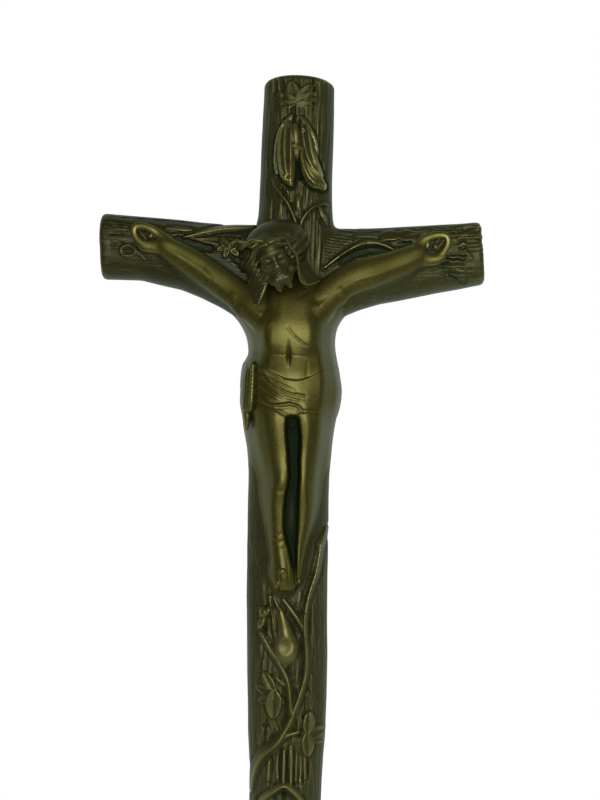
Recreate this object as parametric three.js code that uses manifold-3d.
// Processional cross in hollow cast bronze: a log-shaped cross with a corpus, a crown, a loincloth and
// applied vine castings, closed at the back by a screwed plate. A steel core tube and a tie bar stiffen
// it, and a staff socket with a thumbscrew carries it.
// Millimetres, +Z up, the front faces -Y, and left is the viewer's left.
// The origin is the centre of the staff socket's mouth.
import * as THREE from "three";
import { mergeVertices } from "three/addons/utils/BufferGeometryUtils.js";
import Module from "manifold-3d";

const wasm = await Module();
wasm.setup();

// ---------------------------------------------------------------- driving dimensions
const GAP = 0.3; // between castings that seat on each other
const WALL = 3; // of the log and arm castings
const REAR = 10; // plane of the castings' rear rim
const PLATE = 2.5; // rear plate thickness
const SQUARENESS = 2.5; // superellipse exponent of the log's section
const LOG_FOOT = 95.3;
const LOG_TOP = 606;
const ARM_REACH = 129; // from the cross's axis to the tip of an arm
const ARM_AXIS = 490; // height of the tie bar in the arms

const SOCKET_BORE = 14;
const SOCKET_RADIUS = 17;
const SOCKET_DEPTH = 58;
const KNOP_FOOT = 65.5;
const SOCKET_TOP = 87;
const COLLAR = { foot: 87.3, top: 95, halfWidth: 29, rear: 14.5, front: -17 };

const TUBE = { radius: 5, bore: 3.6, foot: 66, top: 596 };
const BAR = { halfLength: 112, height: 12, front: 5.3, rear: 7.8 };
const BOSS = 4.5; // radius of the posts that take the tie bar's bolts
const BOSS_AT = 104;
const POST = 3.2; // radius of the posts that take the rear plate's screws
const STUD = 2;
const SCREW = 1.5;
const RUNNING = 0.3; // radial clearance round studs, screws and pins

const THUMB = { height: 30, shank: 4, bossFace: 22, tip: 17.3, knobFront: 30, knobRear: 39,
  knobRadius: 11 };

// Log: height, half width, front face.
const LOG = [
  [LOG_FOOT, 24.5, -12],
  [130, 24.8, -12.5],
  [165, 27, -13],
  [358, 27, -13],
  [370, 25, -13],
  [432, 25, -13],
  [456, 26.5, -13],
  [508, 26.5, -13],
  [526, 24.8, -13],
  [600, 24.1, -12.5],
  [LOG_TOP, 22.5, -10.5],
];

// Arm of the cross: distance from the axis, lower edge, upper edge, front face.
const ARM = [
  [18, 432, 507.5, -9],
  [28, 433, 507.3, -9],
  [34, 442.5, 507.2, -9],
  [44, 449.5, 507.3, -9],
  [60, 455.5, 508, -9],
  [80, 461, 509, -9],
  [106, 466, 511.3, -9],
  [125, 469.3, 512.5, -8.5],
  [ARM_REACH, 471.5, 510.5, -6],
];

// Trunk of the corpus: height, half width, front, centre.
const TORSO = [
  [354, 24, -17, -1.5],
  [364, 27.5, -22, -1.5],
  [373, 30, -25, -1.5],
  [384, 32, -27.5, -1.5],
  [396, 32, -28, -1.5],
  [410, 30.5, -28, -1],
  [424, 28.2, -27, 0],
  [436, 28.5, -29, 0],
  [448, 32, -30, 0],
  [456, 33, -28, 0],
  [463, 27, -23, 0],
];
const LEFT_LEG = [
  [-15.3, -10, 370, 13],
  [-15, -13, 352, 12.5],
  [-13.2, -16, 336, 12],
  [-12.8, -15, 322, 10],
  [-12, -15, 307, 10],
  [-9.2, -15.5, 293, 8.9],
  [-7, -16, 283, 8.3],
  [-4.5, -16, 271, 7.4],
  [-1.2, -16, 264.5, 4.5],
];
const RIGHT_LEG = [
  [13.8, -10, 370, 12.5],
  [13.6, -13, 352, 11],
  [12.8, -16, 336, 9],
  [11.6, -14, 318, 7.6],
  [9.6, -13.5, 302, 6.4],
  [9.3, -14, 289, 6.3],
  [8.6, -14.5, 278, 5],
  [7.2, -14.5, 271, 3.5],
];
const LEFT_ARM = [
  [-24, -17, 451, 10],
  [-34, -17, 459, 9.5],
  [-46, -15.5, 468, 8.2],
  [-60, -14, 477.5, 7],
  [-74, -13.5, 485.5, 6.8],
  [-86, -12.5, 491, 5],
];
const RIGHT_ARM = [
  [22, -17, 454, 10],
  [33, -16.5, 463, 9],
  [48, -15, 471.5, 8.2],
  [62, -14, 477.5, 7.8],
  [76, -13, 484.5, 6.5],
  [86, -12.5, 489, 5.2],
];
const LEFT_HAND = { centre: [-97.5, -12, 495.5], radii: [11, 5.5, 8.5], turn: 25 };
const RIGHT_HAND = { centre: [95.5, -12, 492.5], radii: [10.5, 5.5, 8.5], turn: -30 };
const PALM = [6.2, 4.2, 4.8]; // radii of the hollow of the hand
const HEAD_LEAN = 18; // degrees towards the viewer's left

// ---------------------------------------------------------------- solids
const bronze = new THREE.MeshStandardMaterial({ name: "dark_bronze", color: 0x4b4630, roughness: 0.45,
  metalness: 0.85 });
const rubbed = new THREE.MeshStandardMaterial({ name: "rubbed_bronze", color: 0x6b5f34, roughness: 0.38,
  metalness: 0.9 });
const steel = new THREE.MeshStandardMaterial({ name: "steel", color: 0x8d9094, roughness: 0.4,
  metalness: 1 });
const brass = new THREE.MeshStandardMaterial({ name: "brass", color: 0x8a7440, roughness: 0.4,
  metalness: 0.95 });
const cross = new THREE.Group();

function solidOf(geometry) {
  const bare = geometry.index ? geometry.toNonIndexed() : geometry.clone();
  bare.deleteAttribute("normal");
  bare.deleteAttribute("uv");
  const merged = mergeVertices(bare, 1e-4);
  const triVerts = new Uint32Array(merged.index.array);
  const make = () =>
    new wasm.Manifold(
      new wasm.Mesh({ numProp: 3, vertProperties: merged.attributes.position.array, triVerts }),
    );
  const made = make();
  if (made.volume() > 0) return made;
  for (let i = 0; i < triVerts.length; i += 3)
    [triVerts[i + 1], triVerts[i + 2]] = [triVerts[i + 2], triVerts[i + 1]];
  return make();
}

function add(name, solid, material) {
  const bodies = solid.decompose();
  bodies.sort((a, b) => b.volume() - a.volume());
  const made = bodies[0].getMesh();
  const positions = new Float32Array(made.numVert * 3);
  for (let i = 0; i < made.numVert; i++)
    positions.set(made.vertProperties.subarray(i * made.numProp, i * made.numProp + 3), i * 3);
  const geometry = new THREE.BufferGeometry();
  geometry.setAttribute("position", new THREE.BufferAttribute(positions, 3));
  geometry.setIndex(new THREE.BufferAttribute(made.triVerts, 1));
  geometry.computeVertexNormals();
  const mesh = new THREE.Mesh(geometry, material);
  mesh.name = name;
  cross.add(mesh);
}

// A closed body through a list of convex rings, each an array of [x, y, z] with the same count.
function loft(rings) {
  const count = rings[0].length;
  const positions = [];
  const index = [];
  for (const ring of rings) for (const point of ring) positions.push(...point);
  for (let r = 0; r + 1 < rings.length; r++)
    for (let i = 0; i < count; i++) {
      const a = r * count + i;
      const b = r * count + ((i + 1) % count);
      index.push(a, b, b + count, a, b + count, a + count);
    }
  const last = (rings.length - 1) * count;
  for (let i = 1; i + 1 < count; i++) {
    index.push(0, i + 1, i);
    index.push(last, last + i, last + i + 1);
  }
  const geometry = new THREE.BufferGeometry();
  geometry.setAttribute("position", new THREE.Float32BufferAttribute(positions, 3));
  geometry.setIndex(index);
  return solidOf(geometry);
}

// Half superellipse from +half width round the front to -half width: [across, y].
function halfSection(halfWidth, front, rear, steps = 10) {
  const points = [];
  for (let i = 0; i <= steps; i++) {
    const turn = (Math.PI * i) / steps;
    const across = Math.sign(Math.cos(turn)) * Math.abs(Math.cos(turn)) ** (2 / SQUARENESS);
    const forward = Math.abs(Math.sin(turn)) ** (2 / SQUARENESS);
    points.push([halfWidth * across, rear - (rear - front) * forward]);
  }
  return points;
}

// Body with half-superellipse sections up the Z axis: stations are height, half width, front, centre.
function upright(stations, grow, rear = REAR) {
  const last = stations.length - 1;
  const rings = stations.map(([z, halfWidth, front, centre = 0], i) => {
    const height = z + (i === last ? grow : i === 0 ? -grow : 0);
    const section = halfSection(halfWidth + grow, front - grow, rear + Math.max(grow, 0));
    return section.map(([x, y]) => [x + centre, y, height]);
  });
  return loft(rings);
}

// The same along an arm: stations are reach, lower edge, upper edge, front.
function sideways(side, grow, rear, wall = 0) {
  const rings = ARM.map(([reach, low, high, front], i) => {
    const tip = i === ARM.length - 1 ? grow - wall : 0;
    const middle = (low + high) / 2;
    const section = halfSection((high - low) / 2 + grow - wall, front - grow + wall,
      rear + Math.max(grow, 0));
    return section.map(([z, y]) => [side * (reach + tip), y, middle + z]);
  });
  return loft(rings);
}

// Round limb or stem through [x, y, z, radius] points, with rounded ends.
function limb(points, grow = 0, sides = 8) {
  const centres = points.map(([x, y, z]) => new THREE.Vector3(x, y, z));
  const depth = new THREE.Vector3(0, 1, 0);
  const rings = [];
  const ring = (centre, along, radius) => {
    const u = new THREE.Vector3().crossVectors(along, depth).normalize();
    const v = new THREE.Vector3().crossVectors(u, along).normalize();
    rings.push(
      Array.from({ length: sides }, (_, i) => {
        const turn = (2 * Math.PI * i) / sides;
        return centre
          .clone()
          .addScaledVector(u, radius * Math.cos(turn))
          .addScaledVector(v, radius * Math.sin(turn))
          .toArray();
      }),
    );
  };
  points.forEach((point, i) => {
    const before = centres[Math.max(i - 1, 0)];
    const after = centres[Math.min(i + 1, centres.length - 1)];
    const along = after.clone().sub(before).normalize();
    const radius = point[3] + grow;
    if (i === 0) ring(centres[i].clone().addScaledVector(along, -0.7 * radius), along, 0.6 * radius);
    ring(centres[i], along, radius);
    if (i === points.length - 1) ring(centres[i].clone().addScaledVector(along, 0.7 * radius), along,
      0.6 * radius);
  });
  return loft(rings);
}

// Ellipsoid leaned in the front plane by turn degrees, anticlockwise as the viewer sees it.
function ball([x, y, z], [rx, ry, rz], turn = 0, grow = 0) {
  const geometry = new THREE.SphereGeometry(1, 12, 8);
  geometry.scale(rx + grow, ry + grow, rz + grow);
  geometry.rotateY(-THREE.MathUtils.degToRad(turn));
  geometry.translate(x, y, z);
  return solidOf(geometry);
}

// Flat plate with an outline in the front plane, from the rear face to the front face.
function plate(outline, rear, front) {
  const shape = new THREE.Shape(outline.map(([x, z]) => new THREE.Vector2(x, z)));
  const geometry = new THREE.ExtrudeGeometry(shape, { depth: rear - front, bevelEnabled: false });
  geometry.rotateX(Math.PI / 2);
  geometry.translate(0, rear, 0);
  return solidOf(geometry);
}

function box(x0, x1, y0, y1, z0, z1) {
  const geometry = new THREE.BoxGeometry(x1 - x0, y1 - y0, z1 - z0);
  geometry.translate((x0 + x1) / 2, (y0 + y1) / 2, (z0 + z1) / 2);
  return solidOf(geometry);
}

// Round bar along Y.
function pin(x, z, radius, y0, y1, sides = 12) {
  const geometry = new THREE.CylinderGeometry(radius, radius, y1 - y0, sides);
  geometry.translate(x, (y0 + y1) / 2, z);
  return solidOf(geometry);
}

// Turned body about the vertical axis: profile is [radius, height], closed.
function turned(profile, sides = 24) {
  const points = [...profile, profile[0]].map(([r, z]) => new THREE.Vector2(r, z));
  const geometry = new THREE.LatheGeometry(points, sides);
  geometry.rotateX(Math.PI / 2);
  return solidOf(geometry);
}

// Lobed leaf: lobes are [direction in degrees, length, half width]; the notches lie at notch times the
// length.
function leafOutline([x, z], lobes, notch = 0.42, grow = 0) {
  const points = [];
  lobes.forEach(([turn, length, halfWidth], i) => {
    const [nextTurn, nextLength] = lobes[(i + 1) % lobes.length];
    const at = (angle, radius) => {
      const radians = THREE.MathUtils.degToRad(angle);
      return [x + (radius + grow) * Math.cos(radians), z + (radius + grow) * Math.sin(radians)];
    };
    const spread = THREE.MathUtils.radToDeg(Math.atan2(halfWidth, 0.62 * length));
    points.push(at(turn - spread, 0.72 * length), at(turn, length), at(turn + spread, 0.72 * length));
    const gap = (nextTurn - turn + 360) % 360;
    points.push(at(turn + gap / 2, (notch * (length + nextLength)) / 2));
  });
  return points;
}

// ---------------------------------------------------------------- outer castings
// Each outer casting is cut by the ones listed before it, grown by the gap, so that it seats on them.
const seats = [];
function casting(name, material, stock, finish = (solid) => solid) {
  let solid = stock(0);
  for (const seat of seats) solid = solid.subtract(seat);
  add(name, finish(solid), material);
  seats.push(stock(GAP));
}

const joined = (solids) => solids.reduce((a, b) => a.add(b));
const drilled = (solid, holes) => holes.reduce((a, b) => a.subtract(b), solid);

const PLATE_SCREWS = [
  ["top_left", -14, 590],
  ["top_right", 14, 590],
  ["arm_left", -118, 491],
  ["arm_right", 118, 491],
  ["middle_left", -18, 300],
  ["middle_right", 18, 300],
  ["foot_left", -15.5, 140],
  ["foot_right", 15.5, 140],
];
const BODY_STUDS = [
  ["upper", 0, 442],
  ["lower", 0, 390],
];
const ARM_STUDS = [
  ["left", -66, 481],
  ["right", 66, 479],
];

function innerLog() {
  const stations = LOG.map(([z, halfWidth, front], i) => {
    const height = i === 0 ? z + WALL : i === LOG.length - 1 ? z - WALL - 1 : z;
    return [height, halfWidth - WALL, front + WALL];
  });
  return upright(stations, 0, REAR + 1);
}

function screwPost(x, z, front) {
  return pin(x, z, POST, front, REAR).subtract(pin(x, z, SCREW + RUNNING, 1, REAR + 1));
}

function trunk(outer) {
  const hollow = innerLog();
  const posts = PLATE_SCREWS.filter(([, x]) => Math.abs(x) < LOG[0][1])
    .map(([, x, z]) => screwPost(x, z, -9));
  const slots = [-1, 1].map((side) =>
    box(side > 0 ? 18 : -30, side > 0 ? 30 : -18, BAR.front - 0.5, REAR + 1,
      ARM_AXIS - BAR.height / 2 - 0.5, ARM_AXIS + BAR.height / 2 + 0.5),
  );
  const studs = BODY_STUDS.map(([, x, z]) => pin(x, z, STUD + RUNNING, -16, -7));
  const knotHole = ball([-1, -14.5, 112], [8, 5, 9]);
  const tubeHole = turned([[0, 90], [TUBE.radius + RUNNING, 90], [TUBE.radius + RUNNING, 100], [0, 100]],
    16);
  const shell = drilled(outer.subtract(hollow), [...slots, ...studs, knotHole, tubeHole]);
  const inside = posts.map((post) => post.intersect(upright(LOG, 0)));
  return joined([shell, ...inside]);
}

function armShell(side) {
  return (outer) => {
    const hollow = sideways(side, 0, REAR + 1, WALL)
      .subtract(box(side > 0 ? 126 : -140, side > 0 ? 140 : -126, -20, 20, 400, 600));
    const [, postX, postZ] = PLATE_SCREWS.find(([name]) => name === (side > 0 ? "arm_right" : "arm_left"));
    const [, studX, studZ] = ARM_STUDS[side > 0 ? 1 : 0];
    const post = screwPost(postX, postZ, -7).intersect(sideways(side, 0, REAR));
    const boss = pin(side * BOSS_AT, ARM_AXIS, BOSS, -8, BAR.front - GAP)
      .subtract(pin(side * BOSS_AT, ARM_AXIS, STUD + RUNNING, -3, 8));
    return joined([outer.subtract(hollow).subtract(pin(studX, studZ, STUD + RUNNING, -16, -3)), post,
      boss]);
  };
}

casting("trunk_shell", bronze, (grow) => upright(LOG, grow), trunk);
casting("left_arm_shell", bronze, (grow) => sideways(-1, grow, REAR), armShell(-1));
casting("right_arm_shell", bronze, (grow) => sideways(1, grow, REAR), armShell(1));

// ---------------------------------------------------------------- corpus
function head(grow) {
  return joined([
    ball([-12.5, -27, 476], [14, 18, 18], HEAD_LEAN, grow),
    ball([-10, -18, 481], [23.5, 14, 21.5], 0, grow),
    ball([-8.5, -30, 461], [8.5, 8, 8.5], HEAD_LEAN, grow),
    limb([[8, -17, 480, 7.5], [11.5, -16, 467, 6.2], [14, -16, 458.5, 4.5]], grow, 8),
    limb([[-28, -17, 478, 6.5], [-27, -19, 464, 5.5], [-24, -22, 450, 4], [-22.5, -24, 442, 2.5]], grow, 8),
  ]);
}

function hand({ centre, radii, turn }, grow) {
  const [x, y, z] = centre;
  const whole = ball(centre, radii, turn, grow);
  return grow > 0 ? whole : whole.subtract(ball([x, y - radii[1], z], PALM, turn));
}

const studHoles = BODY_STUDS.map(([, x, z]) => pin(x, z, STUD + RUNNING, -22.5, -8));
const body = (grow) => joined([upright(TORSO, grow), limb(LEFT_LEG, grow, 10), limb(RIGHT_LEG, grow, 10)]);

function nail(x, z, front, grow) {
  return pin(x, z, 1.3 + grow, front, -9.5, 12)
    .add(pin(x, z, 2.4 + grow, front - 1.2 - grow, front + grow, 12));
}
const NAILS = [
  ["left_hand_nail", -96, 495, -12.6],
  ["right_hand_nail", 94, 492, -12.6],
  ["foot_nail", -4.5, 274, -25],
];

casting("corpus_head", rubbed, head);
for (const [name, x, z, front] of NAILS) casting(name, bronze, (grow) => nail(x, z, front, grow));
casting("corpus_body", rubbed, body, (solid) => drilled(solid, studHoles));
casting("corpus_left_arm", rubbed, (grow) => limb(LEFT_ARM, grow, 10).add(hand(LEFT_HAND, grow)), (solid) =>
  solid.subtract(pin(ARM_STUDS[0][1], ARM_STUDS[0][2], STUD + RUNNING, -15.5, -5)));
casting("corpus_right_arm", rubbed, (grow) => limb(RIGHT_ARM, grow, 10).add(hand(RIGHT_HAND, grow)),
  (solid) =>
  solid.subtract(pin(ARM_STUDS[1][1], ARM_STUDS[1][2], STUD + RUNNING, -15.5, -5)));

// Loincloth: the hips grown by its thickness, between a sagging waist edge and a wavy hem.
const CLOTH = 2;
const WAIST = [[36, 412], [22, 409], [15, 405], [9, 403], [0, 402.7], [-12.5, 406], [-23, 411], [-38, 413]];
const HEM = [[-38, 399], [-26, 394], [-18, 387], [-13, 383.5], [-1, 386], [6, 383], [16, 380], [36, 377]];
casting("loincloth", rubbed, (grow) =>
  upright(TORSO, CLOTH + grow).intersect(plate([...WAIST, ...HEM], REAR - 1, -40)));
casting("loincloth_tail", rubbed, (grow) =>
  limb([[-28.5, -19, 411, 4.5], [-29, -20, 400, 4.2], [-29.5, -19, 388, 4.5], [-30, -15, 379, 3.5],
    [-30.5, -11, 369, 2.2]], grow));
casting("crown_of_thorns", bronze, (grow) =>
  limb([[-32, -20, 484, 2.1], [-26, -27, 486.5, 2.4], [-20, -32.5, 489, 2.6], [-13, -38, 492.5, 2.6],
    [-6, -36, 493, 2.6], [1, -30.5, 492, 2.4], [7, -26, 491, 2.3], [12, -19.5, 490, 2]], grow, 8));

// ---------------------------------------------------------------- applied vine and bark castings
const STEM = 8; // sides of a stem
const LEAF_REAR = -4;
const leaf = (centre, lobes, front) => (grow) =>
  plate(leafOutline(centre, lobes, 0.42, grow), LEAF_REAR, front - grow);
const twig = (points) => (grow) => limb(points, grow, STEM);

const VINE = [
  [[24, -10, 300, 1.6], [21.5, -11, 292, 1.8], [18.5, -12.3, 275, 1.8], [13.5, -13, 259, 2],
    [11, -13.2, 246, 2.1],
    [10.8, -13.2, 234, 2.2], [12.6, -13, 222, 2], [12.6, -13, 208, 2], [10, -13.2, 197, 2.1],
      [5.4, -13.5, 182, 2.3],
    [-0.5, -13.5, 170.5, 2.4], [-5, -13.2, 163.5, 2.6], [-12, -12.6, 155, 2.6], [-18.5, -11.2, 144.5, 2.4],
      [-21.5, -9, 133, 1.8]],
  [[-10.5, -12.6, 258, 1.2], [0.5, -13, 250.5, 1.5], [8.5, -13.2, 240, 1.9]],
  [[-19.5, -11, 236, 1.2], [-11.5, -12.4, 224.5, 1.5], [-4, -13, 212.5, 1.7], [1, -13.2, 200, 1.9],
    [4.5, -13.4, 184, 2]],
  [[-2, -13.2, 192, 1.2], [-8, -12.6, 193.5, 1.1]],
  [[-2.5, -13.3, 166, 1.5], [4, -13.2, 168.5, 1.3], [9.5, -13, 168.5, 1.1]],
];
casting("vine", bronze, (grow) => joined(VINE.map((points) => limb(points, grow, STEM))));
casting("leaf_left", bronze, leaf([-12, 193.5], [[95, 11.5, 4.5], [178, 9, 4.5], [285, 13, 5]], -15.2));
casting("leaf_right", bronze, leaf([14.5, 167], [[92, 12, 4.5], [8, 8.5, 4.5], [268, 11.5, 4.5]].reverse(),
  -15));
casting("bud_left", bronze, (grow) => ball([-15.5, -10, 245], [4.2, 4, 7.5], -25, grow));
casting("knot_drop", bronze, (grow) =>
  ball([-0.5, -12, 218.5], [6.8, 4, 7.5], 0, grow)
    .add(limb([[-0.5, -12, 222, 3.5], [-3.2, -12.6, 240, 1.2]], grow, STEM)));
casting("bark_lip", bronze, twig([[-14.5, -12, 117, 1.6], [-12, -12.5, 122, 1.9], [-6.5, -13, 127, 2.2],
  [-1, -13.4, 130, 2.3],
  [4, -13, 127.5, 2.2], [9, -12.6, 123.5, 1.9], [11.5, -12, 118, 1.6]]));

casting("top_leaf", bronze, leaf([-1, 586.5], [[110, 12, 4], [27, 13, 4], [352, 9, 3.5], [210, 9, 3.5],
  [167, 12, 4]].reverse(), -14.5));
casting("husk_left", bronze, (grow) =>
  limb([[-2.5, -12.5, 577, 2.2], [-7.5, -13.5, 568, 4], [-9, -14.5, 556, 5], [-8, -15.5, 543, 5.2],
    [-5.5, -15, 534.5, 3.6]], grow));
casting("husk_right", bronze, (grow) =>
  limb([[2, -12.5, 574, 2], [6, -13.5, 566, 3.6], [8, -14, 554, 4.6], [10, -14.5, 543, 4.6],
    [14, -14, 534.5, 3.8], [18.5, -12, 530, 2]], grow));
casting("top_stem_left", bronze, twig([[-15.5, -11.5, 537, 1.4], [-10.5, -12.8, 523.5, 1.6],
  [-4.2, -13.3, 512, 1.6], [-2, -13.5, 506.5, 1.6]]));
casting("top_stem_right", bronze, twig([[1.5, -13.5, 504, 1.6], [4.7, -13.4, 512.5, 1.6],
  [11.5, -12.8, 518, 1.6], [19, -11, 519.5, 1.3]]));
casting("top_bud", bronze, (grow) => ball([1.5, -12.6, 521], [2.6, 2.6, 5], 0, grow));

casting("arm_stem_left", bronze, twig([[-27.5, -9, 502.5, 1.6], [-40, -9, 502, 1.6], [-56, -9, 500, 1.6],
  [-68, -9, 497.5, 1.2]]));
casting("arm_leaf_left", bronze, leaf([-45, 488.5],
  [[100, 9, 3.5], [20, 7.5, 3.5], [180, 9, 3.5], [265, 7, 3]].sort((a, b) => a[0] - b[0]), -11.5));
casting("bark_knot_left", bronze, (grow) => ball([-110.5, -8, 484], [7, 3.6, 4.6], -30, grow));
casting("tendril_right", bronze, twig([[26.5, -9, 482, 1.5], [33, -9, 488, 1.7], [43, -9, 493.5, 1.7],
  [52.5, -9, 495, 1.6], [63, -9, 492.5, 1.2]]));
casting("arm_leaf_right", bronze, leaf([73.5, 503],
  [[90, 5, 3], [0, 8, 3.4], [180, 8, 3.4], [270, 5, 3]].sort((a, b) => a[0] - b[0]), -10));

// ---------------------------------------------------------------- rear plate and inner frame
function plateOutline() {
  const inset = 1;
  const reaching = ARM.filter(([reach]) => reach > 28);
  const below = LOG.filter(([z]) => z < 360).map(([z, halfWidth]) => [halfWidth - inset,
    Math.max(z, LOG_FOOT + 1)]);
  const hips = TORSO.filter(([z]) => z > 360 && z < 430)
    .map(([z, halfWidth]) => [halfWidth - inset - 1.5, z]);
  const armLow = reaching.map(([reach, low]) => [reach - inset, low + inset]);
  const armHigh = reaching.map(([reach, , high]) => [reach - inset, high - inset]).reverse();
  const above = LOG.filter(([z]) => z >= 508).map(([z, halfWidth]) => [halfWidth - inset,
    Math.min(z, LOG_TOP - 1)]);
  const half = [...below, ...hips, [25.5, 433], ...armLow, ...armHigh, ...above];
  return [...half, ...half.map(([x, z]) => [-x, z]).reverse()];
}
const plateHoles = PLATE_SCREWS.map(([, x, z]) => pin(x, z, SCREW + RUNNING, REAR - 1, REAR + 5));
add("rear_plate", drilled(plate(plateOutline(), REAR + GAP + PLATE, REAR + GAP), plateHoles), bronze);
const headSeat = REAR + 2 * GAP + PLATE;
for (const [name, x, z] of PLATE_SCREWS)
  add(`plate_screw_${name}`, pin(x, z, SCREW, 2, headSeat + 1, 12)
    .add(pin(x, z, 3.2, headSeat, headSeat + 1.8, 12)), brass);

const centreHole = pin(0, ARM_AXIS, STUD + RUNNING, -8, 12);
const pinHeight = 80;
const crossPinHole = new THREE.CylinderGeometry(STUD + RUNNING, STUD + RUNNING, 60, 16)
  .rotateZ(Math.PI / 2).translate(0, 0, pinHeight);
const tubeProfile = [[TUBE.bore, TUBE.foot], [TUBE.radius, TUBE.foot], [TUBE.radius, TUBE.top],
  [TUBE.bore, TUBE.top]];
add("core_tube", drilled(turned(tubeProfile, 16), [centreHole, solidOf(crossPinHole)]), steel);

const barHoles = [-1, 1].map((side) => pin(side * BOSS_AT, ARM_AXIS, STUD + RUNNING, 4, 9));
const halfBar = BAR.height / 2;
add("tie_bar", drilled(box(-BAR.halfLength, BAR.halfLength, BAR.front, BAR.rear, ARM_AXIS - halfBar,
  ARM_AXIS + halfBar),
  [...barHoles, centreHole]), steel);
add("centre_bolt", pin(0, ARM_AXIS, STUD, -9, BAR.rear + 1)
  .add(pin(0, ARM_AXIS, 3.6, BAR.rear + 0.1, BAR.rear + 2, 6)), steel);
const nut = (x, z, y0, y1) => pin(x, z, 3.9, y0, y1, 6).subtract(pin(x, z, STUD + RUNNING, y0 - 1, y1 + 1));
add("centre_nut", nut(0, ARM_AXIS, -8, -TUBE.radius - 0.2), steel);
for (const [name, side] of [["left", -1], ["right", 1]])
  add(`tie_bar_bolt_${name}`, pin(side * BOSS_AT, ARM_AXIS, STUD, -2, BAR.rear + 1)
    .add(pin(side * BOSS_AT, ARM_AXIS, 3.6, BAR.rear + 0.1, BAR.rear + 2, 6)), steel);

const bulkhead = upright([[576, 20.6, -8.8], [579, 20.6, -8.8]], 0, REAR - GAP);
add("top_bulkhead", bulkhead.subtract(turned([[0, 570], [TUBE.radius + RUNNING, 570],
  [TUBE.radius + RUNNING, 585], [0, 585]], 16)), steel);

for (const [name, x, z] of BODY_STUDS) {
  add(`corpus_stud_${name}`, pin(x, z, STUD, -22, -5.9), steel);
  add(`corpus_nut_${name}`, nut(x, z, -9.2, -6.4), steel);
}
for (const [name, x, z] of ARM_STUDS) {
  add(`arm_stud_${name}`, pin(x, z, STUD, -15, -1.6), steel);
  add(`arm_nut_${name}`, nut(x, z, -5, -2.4), steel);
}

// ---------------------------------------------------------------- collar, staff socket and clamp
const collarOutline = Array.from({ length: 28 }, (_, i) => {
  const turn = (2 * Math.PI * i) / 28;
  const middle = (COLLAR.rear + COLLAR.front) / 2;
  return [COLLAR.halfWidth * Math.cos(turn), middle + ((COLLAR.rear - COLLAR.front) / 2) * Math.sin(turn)];
});
const inRing = (share, z) => collarOutline.map(([x, y]) => [x * share, y * share, z]);
const collarMiddle = (COLLAR.foot + COLLAR.top) / 2;
add("collar", loft([inRing(0.9, COLLAR.foot), inRing(0.98, COLLAR.foot + 1.6), inRing(1, collarMiddle),
  inRing(0.98, COLLAR.top - 1.6),
  inRing(0.9, COLLAR.top)])
  .subtract(turned([[0, 80], [TUBE.radius + RUNNING, 80], [TUBE.radius + RUNNING, 99], [0, 99]], 16)),
    rubbed);

const socketProfile = [
  [SOCKET_BORE, 0], [SOCKET_RADIUS + 2.5, 0], [SOCKET_RADIUS + 2.5, 4.5], [SOCKET_RADIUS, 6],
  [SOCKET_RADIUS, 58], [SOCKET_RADIUS + 2.2, 60.5], [SOCKET_RADIUS + 2.2, KNOP_FOOT - GAP],
    [SOCKET_BORE, KNOP_FOOT - GAP],
];
const thumbHole = pin(0, THUMB.height, THUMB.shank + RUNNING, SOCKET_BORE - 3, THUMB.bossFace + 2, 24);
const boss = pin(0, THUMB.height, 7.5, SOCKET_BORE + 0.6, THUMB.bossFace, 24);
add("staff_socket", drilled(turned(socketProfile, 28).add(boss), [thumbHole]), rubbed);
const knopProfile = [
  [0, SOCKET_DEPTH], [SOCKET_BORE - GAP, SOCKET_DEPTH], [SOCKET_BORE - GAP, KNOP_FOOT],
    [SOCKET_RADIUS + 2.2, KNOP_FOOT],
  [SOCKET_RADIUS - 2, 69], [SOCKET_RADIUS - 3, 76], [SOCKET_RADIUS + 1, SOCKET_TOP],
    [TUBE.radius + RUNNING, SOCKET_TOP],
  [TUBE.radius + RUNNING, TUBE.foot - GAP], [0, TUBE.foot - GAP],
];
add("socket_knop", drilled(turned(knopProfile, 28), [solidOf(crossPinHole.clone())]), rubbed);
const crossPin = new THREE.CylinderGeometry(STUD, STUD, 32, 16).rotateZ(Math.PI / 2)
  .translate(0, 0, pinHeight);
add("cross_pin", solidOf(crossPin), steel);

add("clamp_pad", pin(0, THUMB.height, THUMB.shank - 0.4, SOCKET_BORE + 0.1, THUMB.tip - GAP, 20), brass);
const knob = Array.from({ length: 32 }, (_, i) => {
  const turn = (2 * Math.PI * i) / 32;
  const radius = THUMB.knobRadius * (0.9 + 0.1 * Math.cos(8 * turn));
  return [radius * Math.cos(turn), THUMB.height + radius * Math.sin(turn)];
});
add("thumbscrew", pin(0, THUMB.height, THUMB.shank, THUMB.tip, THUMB.knobFront + 1, 20)
  .add(plate(knob, THUMB.knobRear, THUMB.knobFront)), brass);

export default cross;
